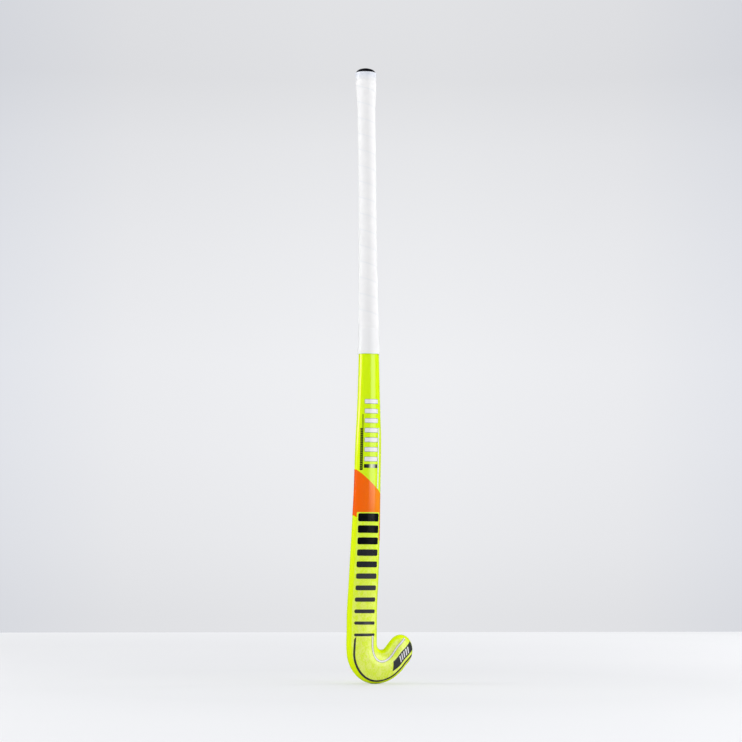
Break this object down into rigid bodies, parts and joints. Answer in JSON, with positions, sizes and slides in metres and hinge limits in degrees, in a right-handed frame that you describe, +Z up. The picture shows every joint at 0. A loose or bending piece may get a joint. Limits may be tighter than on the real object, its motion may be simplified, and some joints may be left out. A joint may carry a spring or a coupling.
{
  "type": "field hockey stick",
  "caption": "Composite field hockey stick with a flat playing face, a rounded back, a hooked head, a bowed shaft and a white wound cushion grip.",
  "frame": {"origin": "middle of the bounding box in X and Y, at the lowest point of the hook", "axes": "+Z up the shaft, +X from the heel edge towards the toe, +Y out of the flat playing face, so that the rounded back looks towards -Y"},
  "size_m": [0.1055, 0.0463, 0.926],
  "materials": {
    "lacquered_laminate": "gloss",
    "core_foam": "matte",
    "carbon_laminate": "satin",
    "plug_plastic": "matte",
    "black_rubber": "satin",
    "underlay_tape": "matte",
    "white_grip": "satin",
    "white_tape": "satin",
    "orange_film": "gloss",
    "black_film": "gloss",
    "white_film": "gloss"
  },
  "bodies": {
    "root": {"outer_laminate": "lacquered_laminate", "head_core": "core_foam", "inner_tube_heel": "carbon_laminate", "inner_tube_toe": "carbon_laminate", "handle_plug": "plug_plastic", "butt_cap": "black_rubber", "grip_underlay": "underlay_tape", "grip_wrap": "white_grip", "grip_collar": "white_tape", "finishing_tape": "white_tape", "band_film": "orange_film", "motif_film": "black_film", "marks_film": "white_film", "detail_film": "black_film", "side_pinstripe_film": "white_film", "outline_film": "black_film", "crook_pinstripe_film": "white_film", "toe_panel_film": "black_film"}
  },
  "joints": []
}
